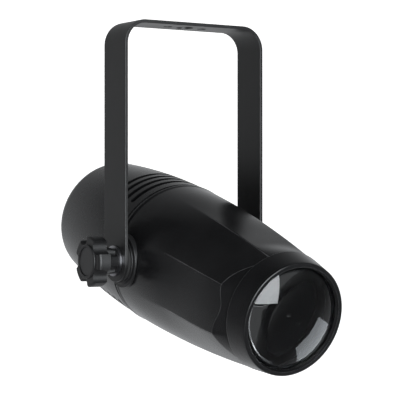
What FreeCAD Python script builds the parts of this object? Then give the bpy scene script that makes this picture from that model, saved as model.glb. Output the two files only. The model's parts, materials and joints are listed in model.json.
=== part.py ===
import FreeCAD, Part
import math
import os

from FreeCAD import Vector

# Compact LED profile spotlight in a U-shaped hanging yoke.
#
# Row frame: the origin is the centre of the hanging-bolt hole in the yoke's top face, +Z is up,
# +X is the tilt axis and the lens looks towards -Y, a little downwards.
# The lamp head is modelled in its own frame and then placed: there the origin is the tilt axis,
# +Z runs forward along the lamp axis (a "station"), +Y is the top and +X is the same as the row's.
# Millimetres and degrees throughout.

# ---------------------------------------------------------------- driving dimensions
REST_TILT = 14.9            # lens below the horizontal

YOKE_WIDTH = 25.0
YOKE_THICK = 2.0
YOKE_SPAN = 98.0            # over the outer faces of both legs
YOKE_HEIGHT = 142.3         # tilt axis to the top face
YOKE_BEND_R = 14.4
YOKE_EDGE_R = 0.35
HANG_HOLE_R = 5.25
SIDE_HOLE_R = 2.75
SIDE_HOLE_X = 12.0

BODY_R = 43.7               # widest radius of the housing
BODY_WIDEST = -15.0         # station of the widest radius
FRONT_SWEEP_R = 760.0       # long arc of the outline ahead of the widest station
REAR_SWEEP_R = 500.0        # long arc of the outline behind it
CORNER_START = -89.1        # station where the rear corner's rounding begins
CORNER_R = 11.0
SEAM = -10.0                # rear edge of the front shell
SEAM_BEAD = 0.35            # how far that edge stands proud
WALL = 2.4

RIM = 115.75                # front edge of the collar
COLLAR_START = 102.5
COLLAR_PROUD = 0.2          # how far the collar stands above the housing's outline
CHEEK_SLOPE = 0.4           # rise of the chamfer between the collar and the cheeks
CHEEK_BUMP = 2.6            # how far the cheeks' side corners stand out
GULLY_DEPTH = 0.8           # hollow between the cheeks and the collar
GULLY_REACH = 30.5          # how far above and below the axis it runs
CREASE_ANGLE = 22.0         # first corner of the eight-sided nose, from the top
SIDE_ANGLE = 68.0           # second corner

VENT_COUNT = 4
VENT_FIRST = -19.5
VENT_PITCH = 7.2
VENT_WIDTH = 3.6
VENT_HALF_ANGLE = 43.0

LENS_R = 29.8
LENS_EDGE = 113.0           # station of the lens's front edge
LENS_EDGE_THICK = 3.0
LENS_FRONT_R = 66.0
LENS_BACK_R = 95.0

BOSS_R = 16.0
BOSS_FACE = 45.3            # distance of the boss's outer face from the middle plane
BOSS_STEP = 0.8
DISC_THICK = 1.6
STUD_R = 3.0
THREAD_PLAY = 0.05          # radial play of a stud in its insert
HOLE_PLAY = 0.1             # radial play of a stud in the yoke
FACE_GAP = 0.1              # between faces that turn on each other
WASHER_THICK = 1.2
KNOB_R = 15.0
KNOB_LOBES = 5
KNOB_LOBE_THICK = 9.0
KNOB_RIM_R = 10.0           # raised rim on the knob's face
KNOB_CAP_R = 8.4
SCOOP_R = 4.8               # hollows between the lobes
SCOOP_AT = 15.0
HUB_R = 7.4
FLUTE_R = 3.0               # flutes along the hub, in line with the hollows
FLUTE_AT = 9.6
KNOB_FACE = 67.5            # distance of the knob's outer face from the middle plane

SINK_BASE = 11.0
SINK_BASE_THICK = 6.0
SINK_BACK = -44.0
SINK_FIN_R = 32.5
SINK_FINS = 20

BOARD_STATION = -56.0       # front face of the driver board
BOARD_R = 37.0
BOARD_THICK = 1.6

SCREW_R = 1.5
SCREW_HEAD_R = 2.75

INNER_LENS_R = 17.5
HOLDER_BACK = 70.0

LED_WIRE_X = 2.0
LED_WIRE_Y = 13.0
EARTH_Y = 5.4

PANEL_R = 25.8
PANEL_THICK = 2.2
PANEL_SCREW_R = 22.5
INLET_W = 26.8
INLET_H = 30.8
INLET_FLANGE = 2.5
SOCKET_Y = -6.3             # middle of the socket, from the lamp axis
SOCKET_W = 24.4
SOCKET_H = 16.0
SOCKET_DEEP = 15.0
DRAWER_Y = 9.0              # middle of the fuse drawer, from the lamp axis
DRAWER_W = 22.0
DRAWER_H = 8.6

# faces that follow from the sizes above
YOKE_OUT = YOKE_SPAN / 2
WASHER_IN = YOKE_OUT + FACE_GAP
KNOB_BACK = WASHER_IN + WASHER_THICK
SEAL_BACK = LENS_EDGE - LENS_EDGE_THICK - 2.05
EMITTER_FACE = SINK_BASE + SINK_BASE_THICK + 0.3 + 1.6
OPTIC_BACK = EMITTER_FACE + 2.4
OPTIC_FRONT = OPTIC_BACK + 14.0
BOARD_BACK = BOARD_STATION - BOARD_THICK

UP = Vector(0, 1, 0)
FORWARD = Vector(0, 0, 1)
SIDE = Vector(1, 0, 0)
CENTRE = Vector(0, 0, 0)


# ---------------------------------------------------------------- helpers
def body_radius(station):
    """Radius of the housing's outline: two long arcs that meet at the widest station."""
    sweep = FRONT_SWEEP_R if station > BODY_WIDEST else REAR_SWEEP_R
    offset = station - BODY_WIDEST
    return BODY_R - (sweep - math.sqrt(sweep * sweep - offset * offset))


def ease(value, start, end):
    """Smooth step from 0 at start to 1 at end."""
    t = min(max((value - start) / (end - start), 0.0), 1.0)
    return t * t * (3.0 - 2.0 * t)


def at(radius, station):
    """A point of a turned outline."""
    return Vector(radius, 0, station)


def polar(radius, angle, station=0.0):
    """A point at an angle from the top, positive towards -X."""
    a = math.radians(angle)
    return Vector(-radius * math.sin(a), radius * math.cos(a), station)


def line(a, b):
    return Part.LineSegment(a, b).toShape()


def arc(a, b, c):
    return Part.Arc(a, b, c).toShape()


def outline_arc(start, end, inset=0.0):
    """The stretch of the housing's outline between two stations, moved inwards by inset."""
    stations = (start, 0.5 * (start + end), end)
    return arc(*[at(body_radius(s) - inset, s) for s in stations])


def chain(*points):
    """Straight edges through the points."""
    return [line(a, b) for a, b in zip(points, points[1:])]


def turned(edges):
    """Solid of revolution about the lamp axis."""
    face = Part.Face(Part.Wire(Part.__sortEdges__(edges)))
    return face.revolve(CENTRE, FORWARD, 360)


def turned_polygon(*pairs):
    points = [at(r, s) for r, s in pairs]
    return turned(chain(*points, points[0]))


def tube(outer, inner, start, end):
    return rod(outer, start, end).cut(rod(inner, start - 1, end + 1))


def rod(radius, start, end, centre=CENTRE):
    return Part.makeCylinder(radius, end - start, centre + FORWARD * start, FORWARD)


def side_rod(radius, start, end, centre=CENTRE):
    """Cylinder along X between two distances from the middle plane."""
    return Part.makeCylinder(radius, end - start, centre + SIDE * start, SIDE)


def block(width, height, length, centre):
    """Box with its middle at centre: width on X, height on Y, length on Z."""
    corner = centre - Vector(width / 2, height / 2, length / 2)
    return Part.makeBox(width, height, length, corner)


def fuse(shapes):
    return shapes[0].multiFuse(list(shapes[1:])).removeSplitter() if len(shapes) > 1 else shapes[0]


def group(shapes):
    return shapes[0] if len(shapes) == 1 else Part.makeCompound(shapes)


def mirrored(shape):
    return shape.mirror(CENTRE, SIDE)


def rounded(shape, radius, wanted):
    """Fillet the edges that the test picks."""
    return shape.makeFillet(radius, [e for e in shape.Edges if wanted(e)])


def screw(head, direction, length, head_r=SCREW_HEAD_R, shank_r=SCREW_R, head_h=1.8):
    """Pan-head screw with a cross recess: head is the point under the head, on the axis."""
    body = Part.makeCylinder(shank_r, length, head, direction)
    cap = Part.makeCylinder(head_r, head_h, head, direction * -1)
    top = head - direction * head_h
    cap = rounded(cap, 0.7, lambda e: e.Length > 5 and (e.CenterOfMass - top).Length < 0.05)
    recess = []
    turn = FreeCAD.Rotation(FORWARD, direction)
    for angle in (0, 90):
        slot = block(head_r * 1.2, 0.7, 2.0, CENTRE)
        slot.rotate(CENTRE, FORWARD, angle)
        slot.Placement = FreeCAD.Placement(top, turn).multiply(slot.Placement)
        recess.append(slot)
    return fuse([body, cap]).cut(recess[0]).cut(recess[1])


def wire_run(points, radius, bend):
    """Round wire through the points: straight runs joined by tangent arcs."""
    edges = []
    start = points[0]
    for before, corner, after in zip(points, points[1:], points[2:]):
        into = (corner - before).normalize()
        out = (after - corner).normalize()
        half = into.getAngle(out) / 2
        back = bend * math.tan(half)
        first = corner - into * back
        last = corner + out * back
        inward = (out - into).normalize()
        middle = corner + inward * (bend / math.cos(half) - bend)
        edges += [line(start, first), arc(first, middle, last)]
        start = last
    edges.append(line(start, points[-1]))
    section = Part.Wire(Part.Circle(points[0], (points[1] - points[0]).normalize(), radius).toShape())
    return Part.Wire(edges).makePipeShell([section], True, False)


# ---------------------------------------------------------------- yoke
def yoke():
    """Flat strap bent to a U: legs at +-X, rounded at the tilt axis, holes in the top."""
    half = YOKE_SPAN / 2

    def loop(inset, bend):
        x = half - inset
        top = YOKE_HEIGHT - inset
        low = -YOKE_WIDTH
        s = bend * (1 - math.sqrt(0.5))
        return [
            line(Vector(-x, 0, low), Vector(-x, 0, top - bend)),
            arc(Vector(-x, 0, top - bend), Vector(-x + s, 0, top - s), Vector(-x + bend, 0, top)),
            line(Vector(-x + bend, 0, top), Vector(x - bend, 0, top)),
            arc(Vector(x - bend, 0, top), Vector(x - s, 0, top - s), Vector(x, 0, top - bend)),
            line(Vector(x, 0, top - bend), Vector(x, 0, low)),
        ]

    outer = loop(0.0, YOKE_BEND_R)
    inner = loop(YOKE_THICK, YOKE_BEND_R - YOKE_THICK)
    feet = []
    for side in (-1, 1):
        feet.append(line(Vector(side * half, 0, -YOKE_WIDTH),
                         Vector(side * (half - YOKE_THICK), 0, -YOKE_WIDTH)))
    face = Part.Face(Part.Wire(Part.__sortEdges__(outer + inner + feet)))
    strap = face.extrude(Vector(0, YOKE_WIDTH, 0))
    strap.translate(Vector(0, -YOKE_WIDTH / 2, 0))
    blank = Part.makeBox(YOKE_SPAN + 2, YOKE_WIDTH, YOKE_HEIGHT + 1, Vector(-half - 1, -YOKE_WIDTH / 2, 0))
    ends = side_rod(YOKE_WIDTH / 2, -half - 1, half + 1)
    strap = strap.common(blank.fuse(ends).removeSplitter())
    strap = rounded(strap, YOKE_EDGE_R, lambda e: long_strap_edge(e))
    strap = strap.cut(side_rod(STUD_R + HOLE_PLAY, -half - 1, half + 1))
    holes = [Part.makeCylinder(HANG_HOLE_R, 10, Vector(0, 0, YOKE_HEIGHT - 5))]
    for x in (-SIDE_HOLE_X, SIDE_HOLE_X):
        holes.append(Part.makeCylinder(SIDE_HOLE_R, 10, Vector(x, 0, YOKE_HEIGHT - 5)))
    for hole in holes:
        strap = strap.cut(hole)
    strap.translate(Vector(0, 0, -YOKE_HEIGHT))
    return strap


def long_strap_edge(edge):
    """Edges along the strap's two long sides and round its feet."""
    return edge.Length > YOKE_THICK + 0.5 and edge.BoundBox.XLength < YOKE_SPAN


# ---------------------------------------------------------------- housing shells
def nose_section(station):
    """Closed outline of the front shell at a station: a circle at the back, eight-sided in front."""
    flat = ease(station, 5, 75)
    valley = 0.97 * flat * (1 - 0.85 * ease(station, 84, COLLAR_START + 1))
    bump = CHEEK_BUMP * ease(station, 40, 95)
    base = body_radius(station)
    angles = []
    for quarter in (0, 180):
        angles += [quarter + CREASE_ANGLE, quarter + SIDE_ANGLE]
        angles += [quarter + 180 - SIDE_ANGLE, quarter + 180 - CREASE_ANGLE]
    is_side = [False, True, True, False] * 2
    radii = [base + (bump if side else 0.0) for side in is_side]
    edges = []
    for i in range(len(angles)):
        j = (i + 1) % len(angles)
        span = (angles[j] - angles[i]) % 360
        middle = angles[i] + span / 2
        mean = (radii[i] + radii[j]) / 2
        chord = mean * math.cos(math.radians(span / 2))
        facing_up_or_down = not is_side[i] and not is_side[j]
        share = valley if facing_up_or_down else 0.6 * flat
        edges.append(arc(polar(radii[i], angles[i], station),
                         polar(mean + (chord - mean) * share, middle, station),
                         polar(radii[j], angles[j], station)))
    return Part.Wire(edges)


def front_shell():
    stations = [SEAM, 5, 20, 35, 50, 65, 78, 90, 98, 106]
    nose = Part.makeLoft([nose_section(s) for s in stations], True, False)
    chamfer_r = body_radius(COLLAR_START)
    reach = 20.0
    limit = turned_polygon((0, SEAM - 1), (chamfer_r + reach, SEAM - 1),
                           (chamfer_r + reach, COLLAR_START - reach / CHEEK_SLOPE),
                           (chamfer_r, COLLAR_START), (0, COLLAR_START))
    back = COLLAR_START - 1.0
    collar_edges = [outline_arc(back, RIM - 0.5, -COLLAR_PROUD)]
    collar_edges += chain(at(body_radius(RIM - 0.5) + COLLAR_PROUD, RIM - 0.5),
                          at(body_radius(RIM) - 0.3, RIM), at(0, RIM), at(0, back),
                          at(body_radius(back) + COLLAR_PROUD, back))
    gully_r = chamfer_r - GULLY_DEPTH
    gully = turned_polygon((gully_r, back), (gully_r + 4.4, back - 8), (gully_r + 8, back - 8),
                           (gully_r + 8, back))
    gully = gully.common(block(120, 2 * GULLY_REACH, 60, FORWARD * back))
    shell = nose.common(limit).cut(gully).fuse(turned(collar_edges))
    shell = shell.fuse(seam_lip())
    for x, y in sink_screw_places():
        shell = shell.fuse(rod(5.0, SINK_BASE + SINK_BASE_THICK + 0.1, 32, Vector(x * 1.02, y * 1.02, 0)))
    flat = math.cos(math.radians(CREASE_ANGLE))
    cavity = turned_polygon((0, SEAM - 1), (body_radius(SEAM) - 2.6, SEAM - 1),
                            (body_radius(12) - 3.0, 12),
                            (body_radius(12) - 3.0, SINK_BASE + SINK_BASE_THICK),
                            (0, SINK_BASE + SINK_BASE_THICK))
    throat = turned_polygon((0, 31), (body_radius(32) * flat - 0.8, 31),
                            (body_radius(60) * flat - 2.2, 60),
                            (body_radius(98) * flat - 2.0, 98), (LENS_R + 0.2, 103),
                            (LENS_R + 0.2, LENS_EDGE + 0.6), (LENS_R - 0.4, LENS_EDGE + 0.6),
                            (LENS_R - 0.4, LENS_EDGE + 1.4), (LENS_R + 0.4, RIM + 1), (0, RIM + 1))
    waist = turned_polygon((0, 16), (body_radius(20) - 3.4, 16),
                           (body_radius(32) * flat - 0.8, 32), (0, 32))
    for x, y in sink_screw_places():
        waist = waist.cut(rod(5.0, 10, 40, Vector(x * 1.02, y * 1.02, 0)))
    shell = shell.cut(cavity).cut(waist).cut(throat)
    for x, y in sink_screw_places():
        shell = shell.cut(rod(SCREW_R, 0, 33, Vector(x, y, 0)))
    shell = shell.cut(side_rod(6.0, -60, 60))
    for place in shell_screw_places():
        out = place_out(place)
        shell = shell.cut(Part.makeCylinder(SCREW_R + 0.1, 12, place - out * 8, out))
        shell = shell.cut(Part.makeCylinder(SCREW_HEAD_R + 0.2, 6, place - out * 1.3, out))
    return shell


def seam_lip():
    """Slightly proud bead at the rear edge of the front shell."""
    r = body_radius(SEAM)
    return turned_polygon((r - 2.0, SEAM), (r + SEAM_BEAD - 0.2, SEAM), (r + SEAM_BEAD, SEAM + 0.3),
                          (r + SEAM_BEAD, SEAM + 0.9), (r - 0.1, SEAM + 3.2), (r - 2.0, SEAM + 3.2))


def shell_screw_places():
    """Two screws under the housing, through the front shell into the rear shell's spigot."""
    return [polar(body_radius(SEAM + 5.5), angle, SEAM + 5.5) for angle in (166, 194)]


def place_out(place):
    out = Vector(place.x, place.y, 0)
    return out.normalize()


def sink_screw_places():
    points = [polar(35.0, angle) for angle in (60, 180, 300)]
    return [(p.x, p.y) for p in points]


def corner_centre():
    """Centre of the rear corner's rounding, square to the outline where it begins."""
    r = body_radius(CORNER_START)
    slope = (CORNER_START - BODY_WIDEST) / REAR_SWEEP_R
    size = math.hypot(1.0, slope)
    return r - CORNER_R / size, CORNER_START - CORNER_R * slope / size


CORNER_C = corner_centre()
REAR_FACE = CORNER_C[1] - CORNER_R
INLET_BACK = REAR_FACE + 18.5
TAB_END = INLET_BACK + 5.0
FUSE_STATION = REAR_FACE - INLET_FLANGE + 10.5


def rear_shell():
    groove = 2.3
    deep = 1.1
    spigot = body_radius(SEAM) - 3.5
    spigot_in = spigot - 2.0
    r_c, s_c = CORNER_C
    q = math.sqrt(0.5) * CORNER_R
    recess = REAR_FACE + PANEL_THICK
    plate = recess + 2.8
    start = at(body_radius(CORNER_START), CORNER_START)
    edges = [outline_arc(CORNER_START, SEAM - groove), arc(start, at(r_c + q, s_c - q), at(r_c, REAR_FACE))]
    edges += chain(at(r_c, REAR_FACE), at(PANEL_R + 0.2, REAR_FACE), at(PANEL_R + 0.2, recess),
                   at(0, recess), at(0, plate), at(r_c, plate), at(body_radius(-86) - WALL, -86))
    edges.append(outline_arc(-86, -17, WALL))
    top = body_radius(SEAM - groove)
    edges += chain(at(body_radius(-17) - WALL, -17), at(spigot_in, SEAM - groove), at(spigot_in, SEAM + 12),
                   at(spigot, SEAM + 12), at(spigot, SEAM - 0.2), at(top - deep, SEAM - 0.2),
                   at(top - deep, SEAM - groove), at(top, SEAM - groove))
    shell = turned(edges)
    for side in (1, -1):
        for i in range(VENT_COUNT):
            shell = shell.cut(vent(VENT_FIRST - i * VENT_PITCH, side))
    for angle in (0, 90, 180, 270):
        shell = shell.fuse(rod(3.2, plate - 0.5, plate + 6, polar(PANEL_SCREW_R, angle)))
    for angle in (60, 180, 300):
        post = rod(4.5, BOARD_STATION - BOARD_THICK - 12, BOARD_STATION - BOARD_THICK - 0.05,
                   polar(36.0, angle))
        room = turned([outline_arc(-86, -17, WALL / 2)] + chain(
            at(body_radius(-17) - WALL / 2, -17), at(0, -17), at(0, -86),
            at(body_radius(-86) - WALL / 2, -86)))
        shell = shell.fuse(post.common(room))
        shell = shell.cut(rod(SCREW_R, BOARD_STATION - 12, BOARD_STATION, polar(34.0, angle)))
    opening = block(INLET_W + 0.8, INLET_H + 0.8, 20, Vector(0, 0, REAR_FACE))
    shell = shell.cut(opening)
    for angle in (0, 90, 180, 270):
        shell = shell.cut(rod(SCREW_R, REAR_FACE, REAR_FACE + 10, polar(PANEL_SCREW_R, angle)))
    shell = shell.cut(side_rod(6.1, -60, 60))
    shell = shell.cut(side_rod(9.7, -37, 37))
    for place in shell_screw_places():
        shell = shell.cut(Part.makeCylinder(SCREW_R, 12, place - place_out(place) * 10, place_out(place)))
    return shell


def vent(station, side):
    """One curved cooling slot with round ends, in the top (side 1) or the bottom (side -1)."""
    low = station - VENT_WIDTH / 2
    outer = BODY_R + 3
    inner = BODY_R - 6
    sector = Part.makeCylinder(outer, VENT_WIDTH, FORWARD * low, FORWARD, 2 * VENT_HALF_ANGLE)
    sector = sector.cut(rod(inner, low - 1, low + VENT_WIDTH + 1))
    sector.rotate(CENTRE, FORWARD, 90 - VENT_HALF_ANGLE)
    cutter = [sector]
    for angle in (-VENT_HALF_ANGLE, VENT_HALF_ANGLE):
        foot = polar(inner, angle, station)
        cutter.append(Part.makeCylinder(VENT_WIDTH / 2, outer - inner, foot, polar(1, angle)))
    slot = fuse(cutter)
    if side < 0:
        slot.rotate(CENTRE, FORWARD, 180)
    return slot


# ---------------------------------------------------------------- optics
def lens(radius, edge_front, edge_thick, front_r, back_r):
    """Double-convex lens, turned about the lamp axis."""
    front_sag = front_r - math.sqrt(front_r ** 2 - radius ** 2)
    back_sag = back_r - math.sqrt(back_r ** 2 - radius ** 2)
    back = edge_front - edge_thick
    half = radius / 2
    front_half = edge_front + front_sag - (front_r - math.sqrt(front_r ** 2 - half ** 2))
    back_half = back - back_sag + (back_r - math.sqrt(back_r ** 2 - half ** 2))
    edges = [
        arc(at(0, edge_front + front_sag), at(half, front_half), at(radius, edge_front)),
        line(at(radius, edge_front), at(radius, back)),
        arc(at(radius, back), at(half, back_half), at(0, back - back_sag)),
        line(at(0, back - back_sag), at(0, edge_front + front_sag)),
    ]
    return turned(edges)


def front_lens():
    return lens(LENS_R, LENS_EDGE, LENS_EDGE_THICK, LENS_FRONT_R, LENS_BACK_R)


def lens_seal():
    return Part.makeTorus(LENS_R - 0.9, 0.7, FORWARD * (SEAL_BACK + 0.75), FORWARD)


def lens_retaining_ring():
    front = SEAL_BACK
    back = front - 3.2
    ring = turned_polygon((27.2, back), (LENS_R + 0.1, back), (LENS_R + 0.1, front), (28.0, front))
    for angle in (0, 180):
        ring = ring.cut(block(3.0, 4.0, 2.0, polar(28.4, angle, back)))
    return ring


def front_baffle():
    """Matt black tube between the two lenses, with two light-trap grooves."""
    front = SEAL_BACK - 3.3
    tube_shape = tube(28.2, 26.6, HOLDER_BACK + 6.1, front)
    for station in (84, 92):
        tube_shape = tube_shape.cut(tube(27.2, 26.0, station, station + 1.5))
    return tube_shape


def inner_lens_holder():
    """Disc that carries the inner lens between the two tubes."""
    return turned_polygon((INNER_LENS_R - 1.0, HOLDER_BACK), (28.2, HOLDER_BACK), (28.2, HOLDER_BACK + 6),
                          (INNER_LENS_R + 2.2, HOLDER_BACK + 6), (INNER_LENS_R + 2.2, HOLDER_BACK + 7.5),
                          (INNER_LENS_R + 0.1, HOLDER_BACK + 7.5), (INNER_LENS_R + 0.1, HOLDER_BACK + 1.3),
                          (INNER_LENS_R - 1.0, HOLDER_BACK + 1.3))


def inner_lens():
    return lens(INNER_LENS_R, HOLDER_BACK + 4.3, 2.6, 38.0, 60.0)


def inner_lens_clip():
    """Sprung wire ring that keeps the inner lens in its holder."""
    station = HOLDER_BACK + 5.7
    ring = Part.makeTorus(INNER_LENS_R - 0.5, 0.5, FORWARD * station, FORWARD)
    return ring.cut(block(3.0, 4.0, 3.0, polar(INNER_LENS_R, 180, station)))


def rear_baffle():
    return tube(21.4, 19.9, OPTIC_FRONT + 0.6, HOLDER_BACK - 0.1)


def collimator():
    """Solid collimating optic with a cup over the emitter and a dished front."""
    return turned_polygon((3.4, OPTIC_BACK), (5.4, OPTIC_BACK), (10.8, OPTIC_BACK + 5.5),
                          (15.5, OPTIC_FRONT - 1.6), (15.5, OPTIC_FRONT), (6.0, OPTIC_FRONT),
                          (5.0, OPTIC_FRONT - 4.0), (0, OPTIC_FRONT - 4.0), (0, OPTIC_BACK + 4.0),
                          (3.4, OPTIC_BACK + 3.0))


def collimator_holder():
    foot = EMITTER_FACE + 0.05
    ring = turned_polygon((12.2, foot), (17.6, foot), (17.6, OPTIC_FRONT + 0.5), (19.8, OPTIC_FRONT + 0.5),
                          (19.8, OPTIC_FRONT + 2.0), (14.6, OPTIC_FRONT + 2.0), (14.6, OPTIC_FRONT + 0.1),
                          (15.6, OPTIC_FRONT + 0.1), (15.6, OPTIC_FRONT - 1.7), (11.2, OPTIC_BACK + 5.7))
    return ring.cut(block(6.6, 12.0, 3.6, polar(15.0, 0, EMITTER_FACE + 1.5)))


# ---------------------------------------------------------------- light source
def heat_sink():
    base = rod(38.0, SINK_BASE, SINK_BASE + SINK_BASE_THICK)
    core = rod(9.0, SINK_BACK, SINK_BASE + 1)
    pieces = [base, core]
    for i in range(SINK_FINS):
        angle = 360.0 * (i + 0.5) / SINK_FINS
        fin = Part.makeBox(1.5, SINK_FIN_R - 8.0, SINK_BASE + 1 - SINK_BACK, Vector(-0.75, 8.0, SINK_BACK))
        fin.rotate(CENTRE, FORWARD, angle)
        pieces.append(fin)
    sink = fuse(pieces)
    for x, y in sink_screw_places():
        sink = sink.cut(rod(SCREW_R + 0.15, SINK_BASE - 1, SINK_BASE + 10, Vector(x, y, 0)))
    for place in led_screw_places():
        sink = sink.cut(rod(SCREW_R, SINK_BASE - 2, SINK_BASE + 10, place))
    for side in (-1, 1):
        sink = sink.cut(rod(1.2, SINK_BASE - 1, SINK_BASE + 10, Vector(side * LED_WIRE_X, LED_WIRE_Y, 0)))
    sink = sink.cut(block(7.0, 4.0, 60, Vector(0, LED_WIRE_Y, SINK_BASE - 30)))
    sink = sink.cut(rod(SCREW_R, SINK_BACK - 1, SINK_BACK + 8))
    return sink


def led_screw_places():
    return [Vector(side * 8.0, 0, 0) for side in (-1, 1)]


def thermal_pad():
    face = SINK_BASE + SINK_BASE_THICK
    pad = rod(10.5, face, face + 0.3)
    for place in led_screw_places():
        pad = pad.cut(rod(SCREW_R + 0.1, face - 1, face + 1, place))
    return pad


def led_board():
    face = SINK_BASE + SINK_BASE_THICK + 0.3
    board = rod(11.0, face, face + 1.6)
    for place in led_screw_places():
        board = board.cut(rod(SCREW_R + 0.1, face - 1, face + 3, place))
    return board


def led_emitter():
    base = block(6.0, 6.0, 0.9, Vector(0, 0, EMITTER_FACE + 0.45))
    dome = Part.makeSphere(2.6, Vector(0, 0, EMITTER_FACE + 0.9), FORWARD, 0, 90, 360)
    return fuse([base, dome])


def led_board_screws():
    return group([screw(place + FORWARD * EMITTER_FACE, FORWARD * -1, 7.0, 2.4, SCREW_R, 1.6)
                  for place in led_screw_places()])


def heat_sink_screws():
    return group([screw(Vector(x, y, SINK_BASE), FORWARD, 15.0, 2.7) for x, y in sink_screw_places()])


# ---------------------------------------------------------------- driver electronics
def driver_board():
    back = BOARD_STATION - BOARD_THICK
    board = rod(BOARD_R, back, BOARD_STATION)
    for angle in (60, 180, 300):
        board = board.cut(rod(SCREW_R + 0.1, back - 1, BOARD_STATION + 1, polar(34.0, angle)))
    board = board.cut(rod(4.5, back - 1, BOARD_STATION + 1, Vector(0, LED_WIRE_Y, 0)))
    return board.cut(rod(2.0, back - 1, BOARD_STATION + 1, Vector(0, EARTH_Y, 0)))


def driver_screws():
    return group([screw(polar(34.0, angle, BOARD_STATION), FORWARD * -1, 8.0) for angle in (60, 180, 300)])


def on_board(width, height, tall, x, y):
    """Block component on the board's rear face."""
    return block(width, height, tall, Vector(x, y, BOARD_BACK - tall / 2))


def driver_transformer():
    core = on_board(16, 13, 11, -15, -8)
    return core.cut(block(9.6, 14, 7, Vector(-15, -8, BOARD_BACK - 5.5)))


def transformer_winding():
    bobbin = block(9.4, 15, 6.8, Vector(-15, -8, BOARD_BACK - 5.5))
    return rounded(bobbin, 1.8, lambda e: e.BoundBox.YLength > 14)


def driver_capacitors():
    cans = []
    for radius, tall, x, y in ((5.0, 12.0, 8.0, -20.0), (5.0, 12.0, 19.5, -15.0), (3.2, 8.0, 20.0, -4.0)):
        can = rod(radius, BOARD_BACK - tall, BOARD_BACK, Vector(x, y, 0))
        cans.append(rounded(can, 0.6, lambda e: e.Length > 6 and e.CenterOfMass.z < BOARD_BACK - 1))
    return group(cans)


def driver_choke():
    ring = Part.makeTorus(5.0, 2.2, Vector(20, 11, BOARD_BACK - 2.4), FORWARD)
    return ring


def film_capacitor():
    return rounded(on_board(13, 6, 10, -18, 8), 0.6, lambda e: e.BoundBox.ZLength > 9)


def driver_chips():
    return group([on_board(6, 5, 1.8, 4, -6), on_board(5, 4, 1.6, 8, 20), on_board(4.5, 9, 3.0, -3, -25),
                  on_board(3, 1.6, 1.2, -2, 8), on_board(3, 1.6, 1.2, 10, 3)])


def mains_terminals():
    base = on_board(12.0, 8.0, 9.0, -8.0, 24.0)
    for x in (-11.0, -5.0):
        base = base.cut(rod(1.5, BOARD_BACK - 10, BOARD_BACK - 4, Vector(x, 24.0, 0)))
    return base


# ---------------------------------------------------------------- rear panel and mains inlet
def rear_panel():
    panel = rod(PANEL_R, REAR_FACE, REAR_FACE + PANEL_THICK)
    panel = panel.cut(block(INLET_W + 0.2, INLET_H + 0.2, 10, Vector(0, 0, REAR_FACE)))
    for angle in (0, 90, 180, 270):
        panel = panel.cut(rod(SCREW_R + 0.15, REAR_FACE - 1, REAR_FACE + 5, polar(PANEL_SCREW_R, angle)))
    return panel


def rear_panel_screws():
    return group([screw(polar(PANEL_SCREW_R, angle, REAR_FACE), FORWARD, 8.0, 2.6)
                  for angle in (0, 90, 180, 270)])


def socket_outline(width, height, start, end):
    """Recess of a mains appliance inlet: a rectangle with its two upper corners cut off."""
    w = width / 2
    h = height / 2
    cut = 4.2
    points = [Vector(x, SOCKET_Y + y, start) for x, y in
              ((-w, -h), (w, -h), (w, h - cut), (w - cut, h), (-w + cut, h), (-w, h - cut))]
    return Part.Face(Part.makePolygon(points + [points[0]])).extrude(FORWARD * (end - start))


def inlet_body():
    """Snap-in appliance inlet: flange, socket recess and the drawer's slot."""
    face = REAR_FACE - INLET_FLANGE
    flange = block(INLET_W + 3.6, INLET_H + 3.6, INLET_FLANGE, Vector(0, 0, REAR_FACE - INLET_FLANGE / 2))
    flange = rounded(flange, 2.0, lambda e: e.BoundBox.ZLength > 2)
    shell = block(INLET_W, INLET_H, INLET_BACK - REAR_FACE, Vector(0, 0, (REAR_FACE + INLET_BACK) / 2))
    body = fuse([flange, shell])
    body = body.cut(socket_outline(SOCKET_W, SOCKET_H, face - 1, face + SOCKET_DEEP))
    body = body.cut(block(DRAWER_W + 0.3, DRAWER_H + 0.3, 2 * 17.0, Vector(0, DRAWER_Y, face)))
    for x, y in inlet_pin_places():
        body = body.cut(block(2.0, 4.0, 60, Vector(x, y, face)))
    return body


def inlet_pin_places():
    return [(-7.0, SOCKET_Y - 2.0), (7.0, SOCKET_Y - 2.0), (0.0, SOCKET_Y + 2.0)]


def inlet_pins():
    """Three flat blades that pass through the inlet's floor and end in solder tabs."""
    face = REAR_FACE - INLET_FLANGE
    pins = []
    for x, y in inlet_pin_places():
        start = face + 2.5
        end = INLET_BACK + 5.0
        pin = block(2.0, 4.0, end - start, Vector(x, y, (start + end) / 2))
        pins.append(pin.cut(side_rod(0.7, x - 3, x + 3, Vector(0, y, end - 2.0))))
    return group(pins)


def fuse_drawer():
    """Drawer with a finger lip and a trough for the fuse."""
    face = REAR_FACE - INLET_FLANGE
    plate = block(DRAWER_W + 1.6, DRAWER_H + 1.0, 1.6, Vector(0, DRAWER_Y, face - 0.85))
    plate = rounded(plate, 0.5, lambda e: abs(e.CenterOfMass.z - (face - 1.65)) < 0.01)
    lip = block(8.0, 1.4, 1.6, Vector(0, DRAWER_Y + 3.0, face - 2.2))
    tray = block(DRAWER_W, DRAWER_H, 16.0, Vector(0, DRAWER_Y, face - 0.1 + 8.0))
    drawer = fuse([plate, lip, tray])
    drawer = drawer.cut(side_rod(2.7, -10.2, 10.2, Vector(0, DRAWER_Y, FUSE_STATION)))
    return drawer.cut(block(20.4, 5.4, 14.0, Vector(0, DRAWER_Y, FUSE_STATION + 7.0)))


def fuse_glass():
    return side_rod(2.3, -5.0, 5.0, Vector(0, DRAWER_Y, FUSE_STATION))


def fuse_caps():
    return group([side_rod(2.6, -10.0, -5.0, Vector(0, DRAWER_Y, FUSE_STATION)),
                  side_rod(2.6, 5.0, 10.0, Vector(0, DRAWER_Y, FUSE_STATION))])


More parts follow.
